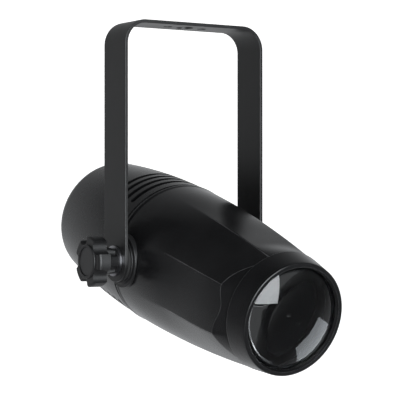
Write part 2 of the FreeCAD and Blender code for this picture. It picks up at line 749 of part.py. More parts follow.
# ---------------------------------------------------------------- wiring
def mains_wire(pin_x, terminal_x):
    """From an inlet tab round to the terminal block on the board."""
    start = Vector(pin_x, SOCKET_Y - 2.0, TAB_END)
    mid = Vector(pin_x, SOCKET_Y - 2.0, TAB_END + 4.2)
    top = Vector(terminal_x, 24.0, TAB_END + 1.8)
    end = Vector(terminal_x, 24.0, BOARD_BACK - 5.0)
    return wire_run([start, mid, top, end], 1.0, 2.2)


def neutral_wire():
    return mains_wire(-7.0, -11.0)


def live_wire():
    return mains_wire(7.0, -5.0)


def earth_wire():
    """From the earth tab through the board to the screw on the heat sink's core."""
    start = Vector(0, SOCKET_Y + 2.0, TAB_END)
    mid = Vector(0, SOCKET_Y + 2.0, TAB_END + 6.0)
    near = Vector(0, EARTH_Y, BOARD_BACK - 6.0)
    end = Vector(0, EARTH_Y, SINK_BACK - 3.0)
    return wire_run([start, mid, near, end], 1.0, 2.2)


def earth_lug():
    """Ring terminal under the earth screw, with its crimp sleeve bent back along the wire."""
    ring = rod(3.4, SINK_BACK - 0.8, SINK_BACK)
    tongue = block(3.0, EARTH_Y, 0.8, Vector(0, EARTH_Y / 2, SINK_BACK - 0.4))
    sleeve = rod(1.6, SINK_BACK - 6.0, SINK_BACK, Vector(0, EARTH_Y, 0))
    lug = fuse([ring, tongue, sleeve])
    lug = lug.cut(rod(1.0, SINK_BACK - 7.0, SINK_BACK - 3.0, Vector(0, EARTH_Y, 0)))
    return lug.cut(rod(SCREW_R, SINK_BACK - 1, SINK_BACK + 1))


def earth_screw():
    return screw(FORWARD * (SINK_BACK - 0.8), FORWARD, 8.0, 2.4, SCREW_R, 1.6)


def led_wire(side):
    start = Vector(side * LED_WIRE_X, LED_WIRE_Y, BOARD_BACK - 1.0)
    bend = Vector(side * LED_WIRE_X, LED_WIRE_Y, EMITTER_FACE + 2.2)
    end = Vector(side * LED_WIRE_X, 8.6, EMITTER_FACE + 0.9)
    return wire_run([start, bend, end], 0.8, 1.6)


def led_wire_positive():
    return led_wire(1)


def led_wire_negative():
    return led_wire(-1)


# ---------------------------------------------------------------- tilt pivots and clamp knobs
def pivot_boss():
    """Stepped round boss with a saddle back that fits the housing, on the +X side."""
    disc = side_rod(BOSS_R, 36, BOSS_FACE - BOSS_STEP)
    disc = rounded(disc, 0.4, lambda e: e.BoundBox.XLength < 0.01 and e.CenterOfMass.x > 40)
    step = side_rod(BOSS_R - 2.2, 36, BOSS_FACE)
    step = rounded(step, 0.4, lambda e: e.BoundBox.XLength < 0.01 and e.CenterOfMass.x > 40)
    boss = fuse([disc, step])
    play = 0.25
    hollow = turned([outline_arc(-40, 40, -play)] + chain(
        at(body_radius(40) + play, 40), at(0, 40), at(0, -40), at(body_radius(-40) + play, -40)))
    lip = turned_polygon((20, SEAM - 1), (body_radius(SEAM) + 0.8, SEAM - 1),
                         (body_radius(SEAM) + 0.8, SEAM + 3.4), (20, SEAM + 3.4))
    return boss.cut(hollow.fuse(lip)).cut(side_rod(6.0, 0, 60))


def pivot_insert():
    """Flanged threaded insert that locks the shells and the boss together."""
    body = side_rod(5.93, 34.0, BOSS_FACE - 0.2)
    flange = side_rod(9.5, 34.0, 36.5)
    return fuse([body, flange]).cut(side_rod(STUD_R + THREAD_PLAY, 0, 60))


def friction_disc():
    face = BOSS_FACE
    return side_rod(12.6, face, face + DISC_THICK).cut(side_rod(6.2, 0, 60))


def knob_washer():
    return side_rod(9.0, WASHER_IN, KNOB_BACK).cut(side_rod(STUD_R + THREAD_PLAY, 0, 90))


def knob():
    """Five-lobed clamp knob: fluted hub behind, lobed grip, raised rim on its face."""
    grip_back = KNOB_FACE - KNOB_LOBE_THICK
    grip = side_rod(KNOB_R, grip_back, KNOB_FACE)
    grip = rounded(grip, 1.6, lambda e: e.BoundBox.XLength < 0.01)
    hub = Part.makeCone(HUB_R, HUB_R + 1.6, grip_back - KNOB_BACK + 0.5, Vector(KNOB_BACK, 0, 0), SIDE)
    for i in range(KNOB_LOBES):
        angle = math.radians(360.0 * (i + 0.5) / KNOB_LOBES)
        outward = Vector(0, -math.cos(angle), math.sin(angle))
        grip = grip.cut(side_rod(SCOOP_R, grip_back - 1, KNOB_FACE + 1, outward * SCOOP_AT))
        hub = hub.cut(side_rod(FLUTE_R, KNOB_BACK + 1, grip_back + 1, outward * FLUTE_AT))
    rim = side_rod(KNOB_RIM_R, KNOB_FACE - 1, KNOB_FACE + 0.9)
    rim = rounded(rim, 0.6, lambda e: e.BoundBox.XLength < 0.01 and e.CenterOfMass.x > KNOB_FACE)
    body = fuse([grip, rim, hub])
    body = body.cut(side_rod(KNOB_CAP_R + 0.05, KNOB_FACE - 0.3, KNOB_FACE + 3))
    return body.cut(side_rod(STUD_R, KNOB_BACK - 1, KNOB_FACE - 3.0))


def knob_cap():
    disc = side_rod(KNOB_CAP_R, KNOB_FACE - 0.3, KNOB_FACE + 0.4)
    return rounded(disc, 0.3, lambda e: e.BoundBox.XLength < 0.01 and e.CenterOfMass.x > KNOB_FACE)


def knob_stud():
    stud = side_rod(STUD_R, 36.8, KNOB_FACE - 3.0)
    return stud.makeChamfer(0.5, [e for e in stud.Edges if e.BoundBox.XLength < 0.01])


def shell_screws():
    screws = []
    for place in shell_screw_places():
        out = place_out(place)
        screws.append(screw(place - out * 1.3, out * -1, 6.0, SCREW_HEAD_R, SCREW_R, 1.2))
    return group(screws)


# ---------------------------------------------------------------- assembly
HEAD_PIECES = {
    "front_shell": front_shell,
    "rear_shell": rear_shell,
    "shell_screws": shell_screws,
    "front_lens": front_lens,
    "lens_seal": lens_seal,
    "lens_retaining_ring": lens_retaining_ring,
    "front_baffle": front_baffle,
    "inner_lens_holder": inner_lens_holder,
    "inner_lens": inner_lens,
    "inner_lens_clip": inner_lens_clip,
    "rear_baffle": rear_baffle,
    "collimator": collimator,
    "collimator_holder": collimator_holder,
    "led_emitter": led_emitter,
    "led_board": led_board,
    "led_board_screws": led_board_screws,
    "thermal_pad": thermal_pad,
    "heat_sink": heat_sink,
    "heat_sink_screws": heat_sink_screws,
    "driver_board": driver_board,
    "driver_screws": driver_screws,
    "driver_transformer": driver_transformer,
    "transformer_winding": transformer_winding,
    "driver_capacitors": driver_capacitors,
    "driver_choke": driver_choke,
    "film_capacitor": film_capacitor,
    "driver_chips": driver_chips,
    "mains_terminals": mains_terminals,
    "live_wire": live_wire,
    "neutral_wire": neutral_wire,
    "earth_wire": earth_wire,
    "earth_lug": earth_lug,
    "earth_screw": earth_screw,
    "led_wire_positive": led_wire_positive,
    "led_wire_negative": led_wire_negative,
    "rear_panel": rear_panel,
    "rear_panel_screws": rear_panel_screws,
    "inlet_body": inlet_body,
    "inlet_pins": inlet_pins,
    "fuse_drawer": fuse_drawer,
    "fuse_glass": fuse_glass,
    "fuse_caps": fuse_caps,
}

# Pieces made for the +X side and mirrored for the -X side.
PAIRED_HEAD_PIECES = {
    "pivot_boss": pivot_boss,
    "pivot_insert": pivot_insert,
    "friction_disc": friction_disc,
}

# Paired pieces that stand level, because the knobs are set by hand.
PAIRED_LEVEL_PIECES = {
    "knob_washer": knob_washer,
    "knob": knob,
    "knob_cap": knob_cap,
    "knob_stud": knob_stud,
}


def place_head(shape):
    """From the lamp's own frame to the row frame, tilted as it rests."""
    shape.rotate(CENTRE, SIDE, 90 + REST_TILT)
    shape.translate(Vector(0, 0, -YOKE_HEIGHT))
    return shape


def place_level(shape):
    shape.translate(Vector(0, 0, -YOKE_HEIGHT))
    return shape


def save(name, shape):
    if not shape.isValid() or not shape.Solids:
        raise RuntimeError("bad solid: " + name)
    shape.exportStep(os.path.join("parts", name + ".step"))


def main():
    os.makedirs("parts", exist_ok=True)
    save("yoke", yoke())
    for name, make in HEAD_PIECES.items():
        save(name, place_head(make()))
    for name, make in PAIRED_HEAD_PIECES.items():
        save(name + "_right", place_head(make()))
        save(name + "_left", place_head(mirrored(make())))
    for name, make in PAIRED_LEVEL_PIECES.items():
        save(name + "_right", place_level(make()))
        save(name + "_left", place_level(mirrored(make())))


main()
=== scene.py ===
"""Looks of a compact LED spotlight: a black plastic lamp head tilting in a steel hanging yoke."""
import json
import math

import bmesh
import bpy
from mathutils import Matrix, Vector


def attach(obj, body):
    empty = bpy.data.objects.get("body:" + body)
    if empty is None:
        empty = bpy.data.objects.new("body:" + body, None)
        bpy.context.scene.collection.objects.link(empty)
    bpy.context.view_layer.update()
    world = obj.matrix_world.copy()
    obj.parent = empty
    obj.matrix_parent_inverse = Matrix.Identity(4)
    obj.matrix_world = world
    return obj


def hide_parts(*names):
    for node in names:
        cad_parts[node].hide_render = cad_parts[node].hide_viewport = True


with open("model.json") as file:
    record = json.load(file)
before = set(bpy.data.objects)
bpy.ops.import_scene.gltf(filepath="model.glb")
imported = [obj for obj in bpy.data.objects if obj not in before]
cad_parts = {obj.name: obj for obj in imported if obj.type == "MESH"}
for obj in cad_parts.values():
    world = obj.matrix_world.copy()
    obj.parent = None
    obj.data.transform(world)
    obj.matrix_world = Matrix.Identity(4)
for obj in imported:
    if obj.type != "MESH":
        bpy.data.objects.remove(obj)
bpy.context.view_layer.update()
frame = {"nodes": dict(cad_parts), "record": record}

# ---------------------------------------------------------------- the lamp head's own frame
MM = 0.001
TILT = math.radians(14.9)      # the nose points this far below the horizon
PIVOT_HEIGHT = -142.3          # tilt axis below the top of the yoke

# the housing's outline, in millimetres, as stations along the lamp axis from the tilt axis
BODY_R = 43.7
BODY_WIDEST = -15.0
FRONT_SWEEP_R = 760.0
REAR_SWEEP_R = 500.0
SEAM = -10.0
SEAM_BEAD = 0.35               # how far the front shell's rear edge stands proud
SEAM_BEAD_END = 3.2            # where the bead has died away, from the seam
RIM = 115.75
RIM_EDGE = 0.5                 # rounding of the collar's front edge
COLLAR_START = 102.5
COLLAR_BACK = COLLAR_START - 1.0
COLLAR_PROUD = 0.2
GULLY_DEPTH = 0.8              # hollow between the cheeks and the collar

# the eight-sided nose; angles are degrees from the top of the head
CREASE_ANGLE = 22.0
SIDE_ANGLE = 68.0
FLAT_START = 5.0               # the round body turns into flat faces between these stations
FLAT_FULL = 75.0
SIDE_SHARE = 0.62              # how flat the three faces on each side get
TOP_SHARE = 0.97               # how flat the top and bottom faces get
TOP_FADE_START = 84.0          # from here they turn round again, towards the collar
TOP_FADE = 0.85
CHEEK_BUMP = 2.6               # how far the cheeks' side corners stand out
BUMP_START = 40.0
BUMP_FULL = 95.0
CREASE_START = 34.0            # the painted highlight along the creases fades in between these stations
CREASE_FULL = 52.0

# turning points of the cheeks' front edge: angle and station
CHEEK_TOP = (28.0, 105.0)
CHEEK_UPPER = (69.0, 93.0)
CHEEK_MIDDLE = (86.0, 96.4)
CHEEK_LOWER = (110.0, 91.5)
CHEEK_BOTTOM = (151.0, 104.0)
BEND_START = 84.0              # rows of points ahead of this are bent along that edge
BEND_ROW = 95.0                # the row that lands on it

LENS_R = 29.8
LENS_EDGE = 113.0
STUD_BORE_R = 6.0
SCREW_STATION = -4.5
SCREW_ANGLES = (166.0, 194.0)
SCREW_POCKET_R = 2.95
SCREW_POCKET_DEPTH = 1.3


def place(x, y, station):
    """A point of the head's frame (right, up, along the lamp axis; mm) in the row frame, in metres."""
    forward, up = station * MM, y * MM
    return Vector((x * MM,
                   -math.sin(TILT) * up - math.cos(TILT) * forward,
                   math.cos(TILT) * up - math.sin(TILT) * forward + PIVOT_HEIGHT * MM))


def polar(radius, angle, station):
    """A point at an angle from the top of the head, positive towards -X."""
    a = math.radians(angle)
    return place(-radius * math.sin(a), radius * math.cos(a), station)


def body_radius(station):
    """Radius of the housing's outline: two long arcs that meet at the widest station."""
    sweep = FRONT_SWEEP_R if station > BODY_WIDEST else REAR_SWEEP_R
    return BODY_R - (sweep - math.sqrt(sweep * sweep - (station - BODY_WIDEST) ** 2))


def ease(value, start, end):
    """Smooth step from 0 at start to 1 at end."""
    t = min(max((value - start) / (end - start), 0.0), 1.0)
    return t * t * (3.0 - 2.0 * t)


def from_top(angle):
    """Angle from the top of the head on either side, 0 to 180."""
    return abs((angle + 180) % 360 - 180)


def soft_min(a, b, width):
    """The lower of two values, with the corner between them rounded over a width."""
    h = max(width - abs(a - b), 0.0) / max(width, 1e-9)
    return min(a, b) - h * h * width / 4


# ---------------------------------------------------------------- meshes
def new_piece(name, mesh_maker, body, material, replaces=()):
    """Object from a bmesh, smooth shaded, riding on a CAD body in place of its CAD nodes."""
    bm = bmesh.new()
    mesh_maker(bm)
    bmesh.ops.recalc_face_normals(bm, faces=bm.faces)
    mesh = bpy.data.meshes.new(name)
    bm.to_mesh(mesh)
    bm.free()
    for face in mesh.polygons:
        face.use_smooth = True
    obj = bpy.data.objects.new(name, mesh)
    bpy.context.scene.collection.objects.link(obj)
    mesh.materials.append(material)
    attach(obj, body)
    if replaces:
        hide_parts(*replaces)
    return obj


def ring_grid(bm, rows):
    """Faces between rows of points, each row closed on itself and the last row joined to the first."""
    verts = [[bm.verts.new(p) for p in row] for row in rows]
    count = len(verts[0])
    for i, row in enumerate(verts):
        after = verts[(i + 1) % len(verts)]
        for j in range(count):
            k = (j + 1) % count
            bm.faces.new((row[j], row[k], after[k], after[j]))
    return verts


CORNERS = [CREASE_ANGLE, SIDE_ANGLE, 180 - SIDE_ANGLE, 180 - CREASE_ANGLE,
           180 + CREASE_ANGLE, 180 + SIDE_ANGLE, 360 - SIDE_ANGLE, 360 - CREASE_ANGLE]
IS_SIDE = [False, True, True, False] * 2


def flatness(station):
    """0 where the body is round, 1 where the nose is fully faceted."""
    return ease(station, FLAT_START, FLAT_FULL)


def facet_radius(i, angle, station):
    """Distance from the axis to one of the eight faces of the nose, blended with the round body behind."""
    j = (i + 1) % 8
    bump = CHEEK_BUMP * ease(station, BUMP_START, BUMP_FULL)
    start = CORNERS[i]
    span = (CORNERS[j] - CORNERS[i]) % 360
    radii = [body_radius(station) + (bump if IS_SIDE[n] else 0.0) for n in (i, j)]
    share = SIDE_SHARE * flatness(station)
    if not IS_SIDE[i] and not IS_SIDE[j]:
        fade = TOP_FADE * ease(station, TOP_FADE_START, COLLAR_START + 1)
        share = TOP_SHARE * flatness(station) * (1 - fade)
    t = ((angle - start + 180) % 360 - 180) / span
    round_r = radii[0] + (radii[1] - radii[0]) * min(max(t, -0.5), 1.5)
    a = math.radians(start)
    b = math.radians(start + span)
    p = Vector((math.cos(a), math.sin(a))) * radii[0]
    q = Vector((math.cos(b), math.sin(b))) * radii[1]
    normal = Vector((q.y - p.y, p.x - q.x)).normalized()
    here = math.radians(angle)
    facing = normal.dot(Vector((math.cos(here), math.sin(here))))
    if facing < 0.3:
        return math.inf
    return round_r + (normal.dot(p) / facing - round_r) * share


def nearest_faces(angle, station):
    """Distances to the two faces of the nose that lie nearest to the axis at an angle."""
    return sorted(facet_radius(i, angle, station) for i in range(8))[:2]


def cheek_edge(angle):
    """Station where the cheeks end and the chamfer down to the collar begins."""
    turn = from_top(angle)
    if turn < CHEEK_UPPER[0]:
        (start, far), (end, near) = CHEEK_TOP, CHEEK_UPPER
        share = max(turn - start, 0) / (end - start)
        edge = near + (far - near) * (1 - math.sin(math.radians(90 * share)))
    elif turn < CHEEK_MIDDLE[0]:
        (start, near), (end, far) = CHEEK_UPPER, CHEEK_MIDDLE
        edge = near + (far - near) * ease(turn, start, end)
    elif turn < CHEEK_LOWER[0]:
        (start, far), (end, near) = CHEEK_MIDDLE, CHEEK_LOWER
        edge = far + (near - far) * ease(turn, start, end)
    else:
        (start, near), (end, far) = CHEEK_LOWER, CHEEK_BOTTOM
        share = min(turn - start, end - start) / (end - start)
        edge = near + (far - near) * (1 - math.cos(math.radians(90 * share)))
    return min(edge, COLLAR_START - 1.2)


def bent_station(angle, station):
    """Rows near the collar are bent so that one of them follows the cheeks' front edge."""
    edge = cheek_edge(angle)
    if station <= BEND_START or station >= COLLAR_BACK:
        return station
    if station <= BEND_ROW:
        return BEND_START + (station - BEND_START) * (edge - BEND_START) / (BEND_ROW - BEND_START)
    return edge + (station - BEND_ROW) * (COLLAR_BACK - edge) / (COLLAR_BACK - BEND_ROW)


def crease_at(angle, station):
    """1 where two faces of the nose meet in a sharp crease, 0 elsewhere; the nose material paints a
    highlight where it is high.
    """
    edge = cheek_edge(angle)
    if station > edge + 0.3:
        return 0.0
    turn = from_top(angle)
    low, high = nearest_faces(angle, station)
    faces = (1 - ease(high - low, 0.0, 0.16)) * ease(station, CREASE_START, CREASE_FULL)
    fading = (1 - 0.8 * ease(turn, 62, 104)) * ease(turn, 26, 34)
    front = (1 - ease(abs(station - edge), 0.0, 0.3)) * fading
    return max(faces, front)


def nose_radius(angle, station):
    """Outer surface of the front shell: eight soft faces, a chamfer, then the turned collar."""
    if station >= COLLAR_BACK:
        rim = min(max((station - RIM + RIM_EDGE) / RIM_EDGE, 0.0), 1.0)
        return body_radius(station) + COLLAR_PROUD - RIM_EDGE * (1 - math.sqrt(1 - rim * rim))
    edge = cheek_edge(angle)
    here = min(station, edge)
    low, high = nearest_faces(angle, here)
    radius = soft_min(low, high, 0.5 * flatness(here))
    if station > edge:
        side = ease(abs(math.sin(math.radians(angle))), 0.42, 0.56)
        foot = body_radius(COLLAR_START) - GULLY_DEPTH * side
        radius += (min(foot, radius) - radius) * (station - edge) / (COLLAR_BACK - edge)
    if station < SEAM + SEAM_BEAD_END:
        rise = ease(station, SEAM - 0.4, SEAM + 0.3)
        fall = ease(station, SEAM + 0.9, SEAM + SEAM_BEAD_END)
        radius += SEAM_BEAD * rise * (1 - fall)
    return radius


def nose_angles():
    """Angles of the mesh's columns: even, with closer ones along the eight creases."""
    angles = [1.5 * i for i in range(240)]
    for corner in CORNERS:
        angles = [a for a in angles if from_top(a - corner) > 0.9]
        angles += [corner + d for d in (-1.1, -0.65, -0.3, 0.0, 0.3, 0.65, 1.1)]
    return sorted(a % 360 for a in angles)


def outer_stations():
    """Rows of the outer surface, closer together at the seam, the cheeks' front edge and the rim."""
    rows = [SEAM + 0.3 * i for i in range(12)]
    rows += [-6.0 + 1.5 * i for i in range(60)]
    rows += [BEND_START + i for i in range(10)]
    rows += [BEND_ROW + d for d in (-0.9, -0.5, -0.25, 0.0, 0.2, 0.5)]
    rows += [BEND_ROW + 1.0 + 0.5 * i for i in range(11)]
    rows += [COLLAR_BACK - 0.001, COLLAR_BACK + 0.001]
    rows += [COLLAR_START + 1.5 * i for i in range(8)]
    rows += [RIM - RIM_EDGE + RIM_EDGE * math.sin(math.radians(15 * i)) for i in range(7)]
    return sorted(set(round(s, 4) for s in rows if s <= RIM))


def inner_rings():
    """Radius and station of each ring inside: rim face, lens seat, tapering throat and round waist."""
    flat = math.cos(math.radians(CREASE_ANGLE))
    front_r = body_radius(RIM) + COLLAR_PROUD - RIM_EDGE
    rings = [(front_r - 0.02, RIM), (front_r - 0.3, RIM), (LENS_R + 0.6, RIM),
             (LENS_R + 0.45, RIM - 0.02), (LENS_R + 0.35, RIM - 0.15),
             (LENS_R - 0.4, LENS_EDGE + 1.4), (LENS_R - 0.4, LENS_EDGE + 0.6),
             (LENS_R + 0.2, LENS_EDGE + 0.6), (LENS_R + 0.2, 103.0)]
    rings += [(body_radius(s) * flat - 2.0, s) for s in (98.0, 86.0, 73.0, 60.0)]
    rings += [(body_radius(s) * flat - 0.8, s) for s in (46.0, 33.0)]
    rings += [(body_radius(s) - 3.4, s) for s in (20.0, 12.0, 0.0, SEAM)]
    return rings


def front_shell_mesh(bm):
    """Closed wall of the front shell, with its creases marked on the outer points as a value that the nose
    material paints as a highlight.
    """
    angles = nose_angles()
    outer = outer_stations()
    rows = []
    for station in outer:
        row = [(a, bent_station(a, station)) for a in angles]
        rows.append([polar(nose_radius(a, s), a, s) for a, s in row])
    rows += [[polar(r, a, s) for a in angles] for r, s in inner_rings()]
    # crease values: where the nose material paints a highlight line
    crease = bm.verts.layers.float.new("crease")
    verts = ring_grid(bm, rows)
    for station, row in zip(outer, verts):
        for a, vert in zip(angles, row):
            vert[crease] = crease_at(a, bent_station(a, station))


def cylinder_mesh(bm, start, end, radius):
    """Closed cylinder between two points."""
    along = (end - start).normalized()
    side = along.orthogonal().normalized()
    other = along.cross(side)
    steps = 48
    turns = [math.radians(360 * i / steps) for i in range(steps)]
    rings = [[bm.verts.new(centre + radius * (math.cos(a) * side + math.sin(a) * other)) for a in turns]
             for centre in (start, end)]
    for j in range(steps):
        k = (j + 1) % steps
        bm.faces.new((rings[0][j], rings[0][k], rings[1][k], rings[1][j]))
    bm.faces.new(rings[0])
    bm.faces.new(rings[1])


def bore(obj, holes):
    """Cut round holes, each given as (start, end, radius), out of a mesh for good."""
    bm = bmesh.new()
    for hole in holes:
        cylinder_mesh(bm, *hole)
    bmesh.ops.recalc_face_normals(bm, faces=bm.faces)
    mesh = bpy.data.meshes.new("holes")
    bm.to_mesh(mesh)
    bm.free()
    cutter = bpy.data.objects.new("holes", mesh)
    bpy.context.scene.collection.objects.link(cutter)
    cut = obj.modifiers.new("holes", "BOOLEAN")
    cut.operation = "DIFFERENCE"
    cut.solver = "EXACT"
    cut.object = cutter
    bpy.context.view_layer.update()
    graph = bpy.context.evaluated_depsgraph_get()
    carved = bpy.data.meshes.new_from_object(obj.evaluated_get(graph))
    obj.modifiers.clear()
    obj.data = carved
    bpy.data.objects.remove(cutter)
    carved.set_sharp_from_angle(angle=math.radians(32))


# ---------------------------------------------------------------- materials
def node(tree, kind, **inputs):
    """Shader node with its inputs set to values or linked to sockets."""
    made = tree.nodes.new(kind)
    for key, value in inputs.items():
        name = key.replace("_", " ")
        target = made.inputs[name]
        if hasattr(value, "is_output"):
            tree.links.new(value, target)
        else:
            target.default_value = value
    return made


def noise(tree, where, scale, detail=3.0, roughness=0.5):
    """Noise pattern, with scale in cells per metre."""
    made = node(tree, "ShaderNodeTexNoise", Vector=where, Scale=scale, Detail=detail, Roughness=roughness)
    return made.outputs["Fac"]


def remap(tree, value, low, high, to_low, to_high):
    """Socket whose range low to high becomes to_low to to_high, clamped at both ends."""
    made = tree.nodes.new("ShaderNodeMapRange")
    tree.links.new(value, made.inputs["Value"])
    for key, number in (("From Min", low), ("From Max", high), ("To Min", to_low), ("To Max", to_high)):
        made.inputs[key].default_value = number
    return made.outputs["Result"]


def mix(tree, share, a, b):
    """Colour mix. a and b are colours or sockets."""
    made = tree.nodes.new("ShaderNodeMix")
    made.data_type = "RGBA"
    tree.links.new(share, made.inputs["Factor"])
    for name, value in (("A", a), ("B", b)):
        target = [s for s in made.inputs if s.name == name and s.type == "RGBA"][0]
        if hasattr(value, "is_output"):
            tree.links.new(value, target)
        else:
            target.default_value = (*value, 1.0)
    return [s for s in made.outputs if s.type == "RGBA"][0]


def math_node(tree, operation, a, b):
    """Socket with the result of one operation on two sockets."""
    made = tree.nodes.new("ShaderNodeMath")
    made.operation = operation
    tree.links.new(a, made.inputs[0])
    tree.links.new(b, made.inputs[1])
    return made.outputs["Value"]


def shaded(colour, factor):
    """Colour made darker or lighter."""
    return tuple(min(c * factor, 1.0) for c in colour)


def edge_mask(tree, radius):
    """1 on convex and concave edges, 0 on open faces."""
    soft = node(tree, "ShaderNodeBevel", Radius=radius)
    soft.samples = 4
    geometry = tree.nodes.new("ShaderNodeNewGeometry")
    dot = tree.nodes.new("ShaderNodeVectorMath")
    dot.operation = "DOT_PRODUCT"
    tree.links.new(soft.outputs["Normal"], dot.inputs[0])
    tree.links.new(geometry.outputs["Normal"], dot.inputs[1])
    return remap(tree, dot.outputs["Value"], 0.995, 0.82, 0.0, 1.0)


def coordinates(tree, stretch=None):
    """Position on the object in metres, stretched for a drawn or brushed grain."""
    where = tree.nodes.new("ShaderNodeTexCoord").outputs["Object"]
    if stretch is None:
        return where
    mapping = node(tree, "ShaderNodeMapping", Vector=where, Scale=stretch)
    return mapping.outputs["Vector"]


def surface(name, colour, roughness, grain=2600.0, depth=0.02, mottle=0.12, scuff_and_highlight=0.25, scuff_and_highlight_colour=None,
            metallic=0.0, stretch=None, spread=0.05, edge=0.0005, crease=False):
    """Solid material: mottled colour, grain bump, uneven roughness and lightened edges, which are scuffing
    on most parts and a painted highlight on the nose; with crease set, the mesh's crease values add more
    painted highlight.
    """
    material = bpy.data.materials.new(name)
    material.use_nodes = True
    tree = material.node_tree
    shader = tree.nodes["Principled BSDF"]
    where = coordinates(tree, stretch)
    cloud = noise(tree, where, grain / 60.0, 5.0, 0.6)
    fine = noise(tree, where, grain, 2.0, 0.6)
    patches = remap(tree, cloud, 0.35, 0.65, 0.0, 1.0)
    body = mix(tree, patches, shaded(colour, 1 - mottle), shaded(colour, 1 + mottle))
    # lighter colour for the edges: scuffing on most parts, a painted highlight on the nose
    scuffed_and_highlit = scuff_and_highlight_colour or tuple(c * 1.5 + 0.012 for c in colour)
    patchy_scuff_and_highlight = remap(tree, noise(tree, where, grain / 30.0, 3.0, 0.5), 0.35, 0.65, 0.5 * scuff_and_highlight, scuff_and_highlight)
    mask = edge_mask(tree, edge)
    # painted highlight: the mesh's crease values lighten the colour along the creases
    if crease:
        drawn = tree.nodes.new("ShaderNodeAttribute")
        drawn.attribute_name = "crease"
        mask = math_node(tree, "MAXIMUM", mask, drawn.outputs["Fac"])
    # how strongly edges and creases are lightened, in patches; on the nose this is painted highlight
    rim = math_node(tree, "MULTIPLY", mask, patchy_scuff_and_highlight)
    tree.links.new(mix(tree, rim, body, scuffed_and_highlit), shader.inputs["Base Color"])
    uneven = remap(tree, cloud, 0.3, 0.7, max(roughness - spread, 0.02), roughness + spread)
    tree.links.new(uneven, shader.inputs["Roughness"])
    bump = node(tree, "ShaderNodeBump", Strength=1.0, Distance=depth * MM, Height=fine)
    tree.links.new(bump.outputs["Normal"], shader.inputs["Normal"])
    shader.inputs["Metallic"].default_value = metallic
    return material


def glass(name, tint, ior, roughness=0.0):
    """Clear glass with a faint ripple and a slightly uneven tint."""
    material = bpy.data.materials.new(name)
    material.use_nodes = True
    tree = material.node_tree
    shader = tree.nodes["Principled BSDF"]
    shader.inputs["Transmission Weight"].default_value = 1.0
    shader.inputs["IOR"].default_value = ior
    shader.inputs["Roughness"].default_value = roughness
    where = coordinates(tree)
    patches = remap(tree, noise(tree, where, 60.0), 0.3, 0.7, 0.0, 1.0)
    film = mix(tree, patches, tint, shaded(tint, 0.97))
    tree.links.new(film, shader.inputs["Base Color"])
    waves = noise(tree, where, 90.0)
    ripple = node(tree, "ShaderNodeBump", Strength=0.3, Distance=0.001 * MM, Height=waves)
    tree.links.new(ripple.outputs["Normal"], shader.inputs["Normal"])
    return material


